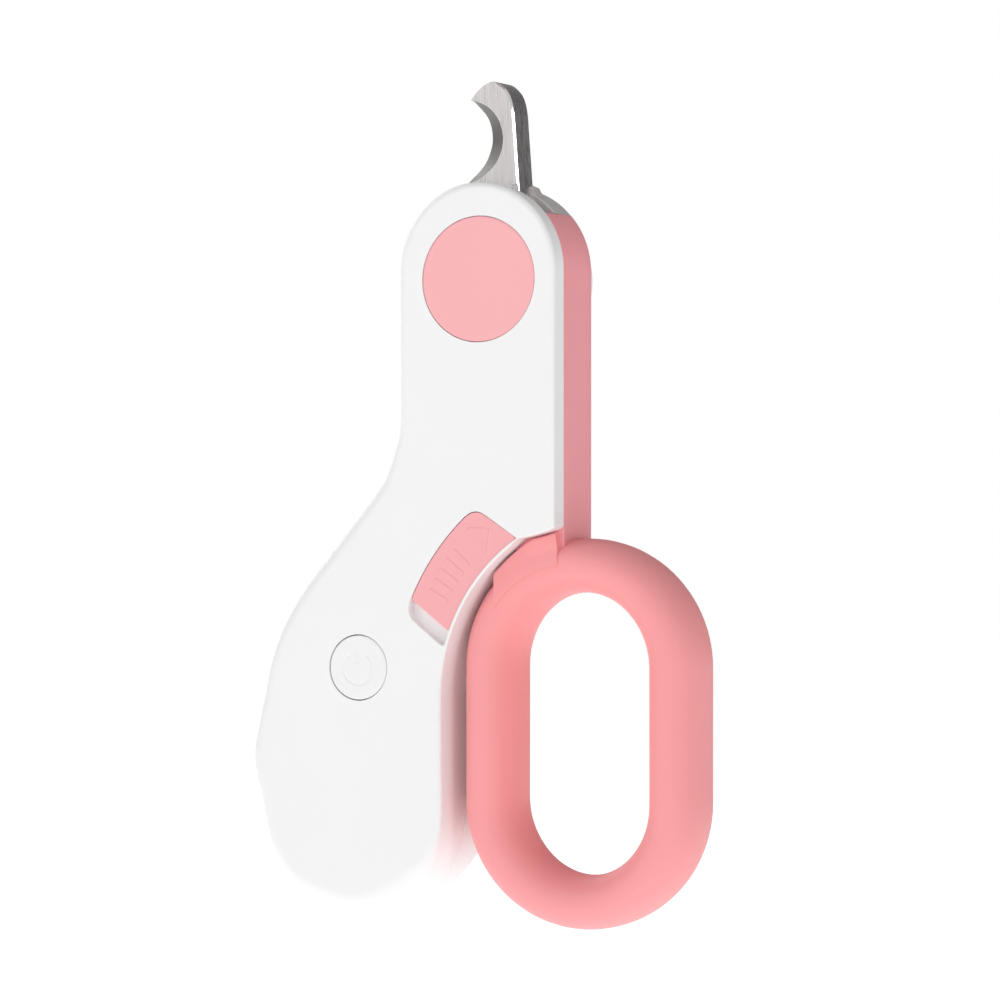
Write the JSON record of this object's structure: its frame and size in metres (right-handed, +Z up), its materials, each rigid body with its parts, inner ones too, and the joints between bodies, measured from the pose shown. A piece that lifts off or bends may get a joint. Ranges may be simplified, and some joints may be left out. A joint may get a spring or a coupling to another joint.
{
  "type": "scissor nail clipper",
  "caption": "Pet nail scissors with a white handle, a hooked steel blade pair, a pink lever with an oval finger loop, a slide lock and a lit blade area.",
  "frame": {"origin": "where the pivot axis meets the flat back of the closed clipper", "axes": "+Z up along the neck towards the blade tips, +X towards the finger loop, -Y out of the front face with the pivot cap; the pivot axis is Y"},
  "size_m": [0.0712, 0.016, 0.1233],
  "materials": {
    "white_shell": "fine satin moulded white",
    "pink_cap": "satin pink",
    "pink_lever": "satin pink",
    "pink_soft": "soft-touch pink",
    "pink_slider": "satin pink",
    "white_button": "satin white",
    "blade_steel": "brushed",
    "steel": "plain",
    "spring_steel": "drawn wire",
    "bush_brass": "turned",
    "board_green": "solder mask",
    "black_plastic": "moulded",
    "led_amber": "clear epoxy",
    "clear_lens": "frosted clear",
    "lead_red": "pvc",
    "cell_steel": "plated",
    "contact_brass": "plated"
  },
  "bodies": {
    "handle": {"front_shell": "white_shell", "rear_shell": "white_shell", "pivot_cap": "pink_cap", "pivot_bolt": "steel", "pivot_nut": "steel", "pivot_washer": "steel", "fixed_blade": "blade_steel", "fixed_blade_pins": "steel", "return_spring": "spring_steel", "spring_post": "steel", "tact_switch": "black_plastic", "circuit_board": "board_green", "resistor": "black_plastic", "led": "led_amber", "light_lens": "clear_lens", "led_leads": "lead_red", "button_cells": "cell_steel", "battery_contacts": "contact_brass", "battery_door": "white_shell", "door_screw": "steel", "case_screws": "steel"},
    "lever": {"lever_arm": "pink_lever", "finger_loop": "pink_soft", "moving_blade": "blade_steel", "moving_blade_pins": "steel", "pivot_bush": "bush_brass", "rear_cap": "white_shell"},
    "slider": {"lock_slider": "pink_slider", "slider_clip": "black_plastic"},
    "button": {"power_button": "white_button"}
  },
  "joints": [
    {"name": "lever_pivot", "type": "hinge", "parent": "handle", "child": "lever", "pos_m": [0, 0, 0], "axis": [0, -1, 0], "range_deg": [0, 20]},
    {"name": "lock_slide", "type": "hinge", "parent": "handle", "child": "slider", "pos_m": [0.0215, 0, -0.0613], "axis": [0, -1, 0], "range_deg": [0, 3.4]},
    {"name": "power_button_press", "type": "slide", "parent": "handle", "child": "button", "axis": [0, 1, 0], "range_m": [0, 0.0005], "stiffness_N_per_m": 300}
  ]
}
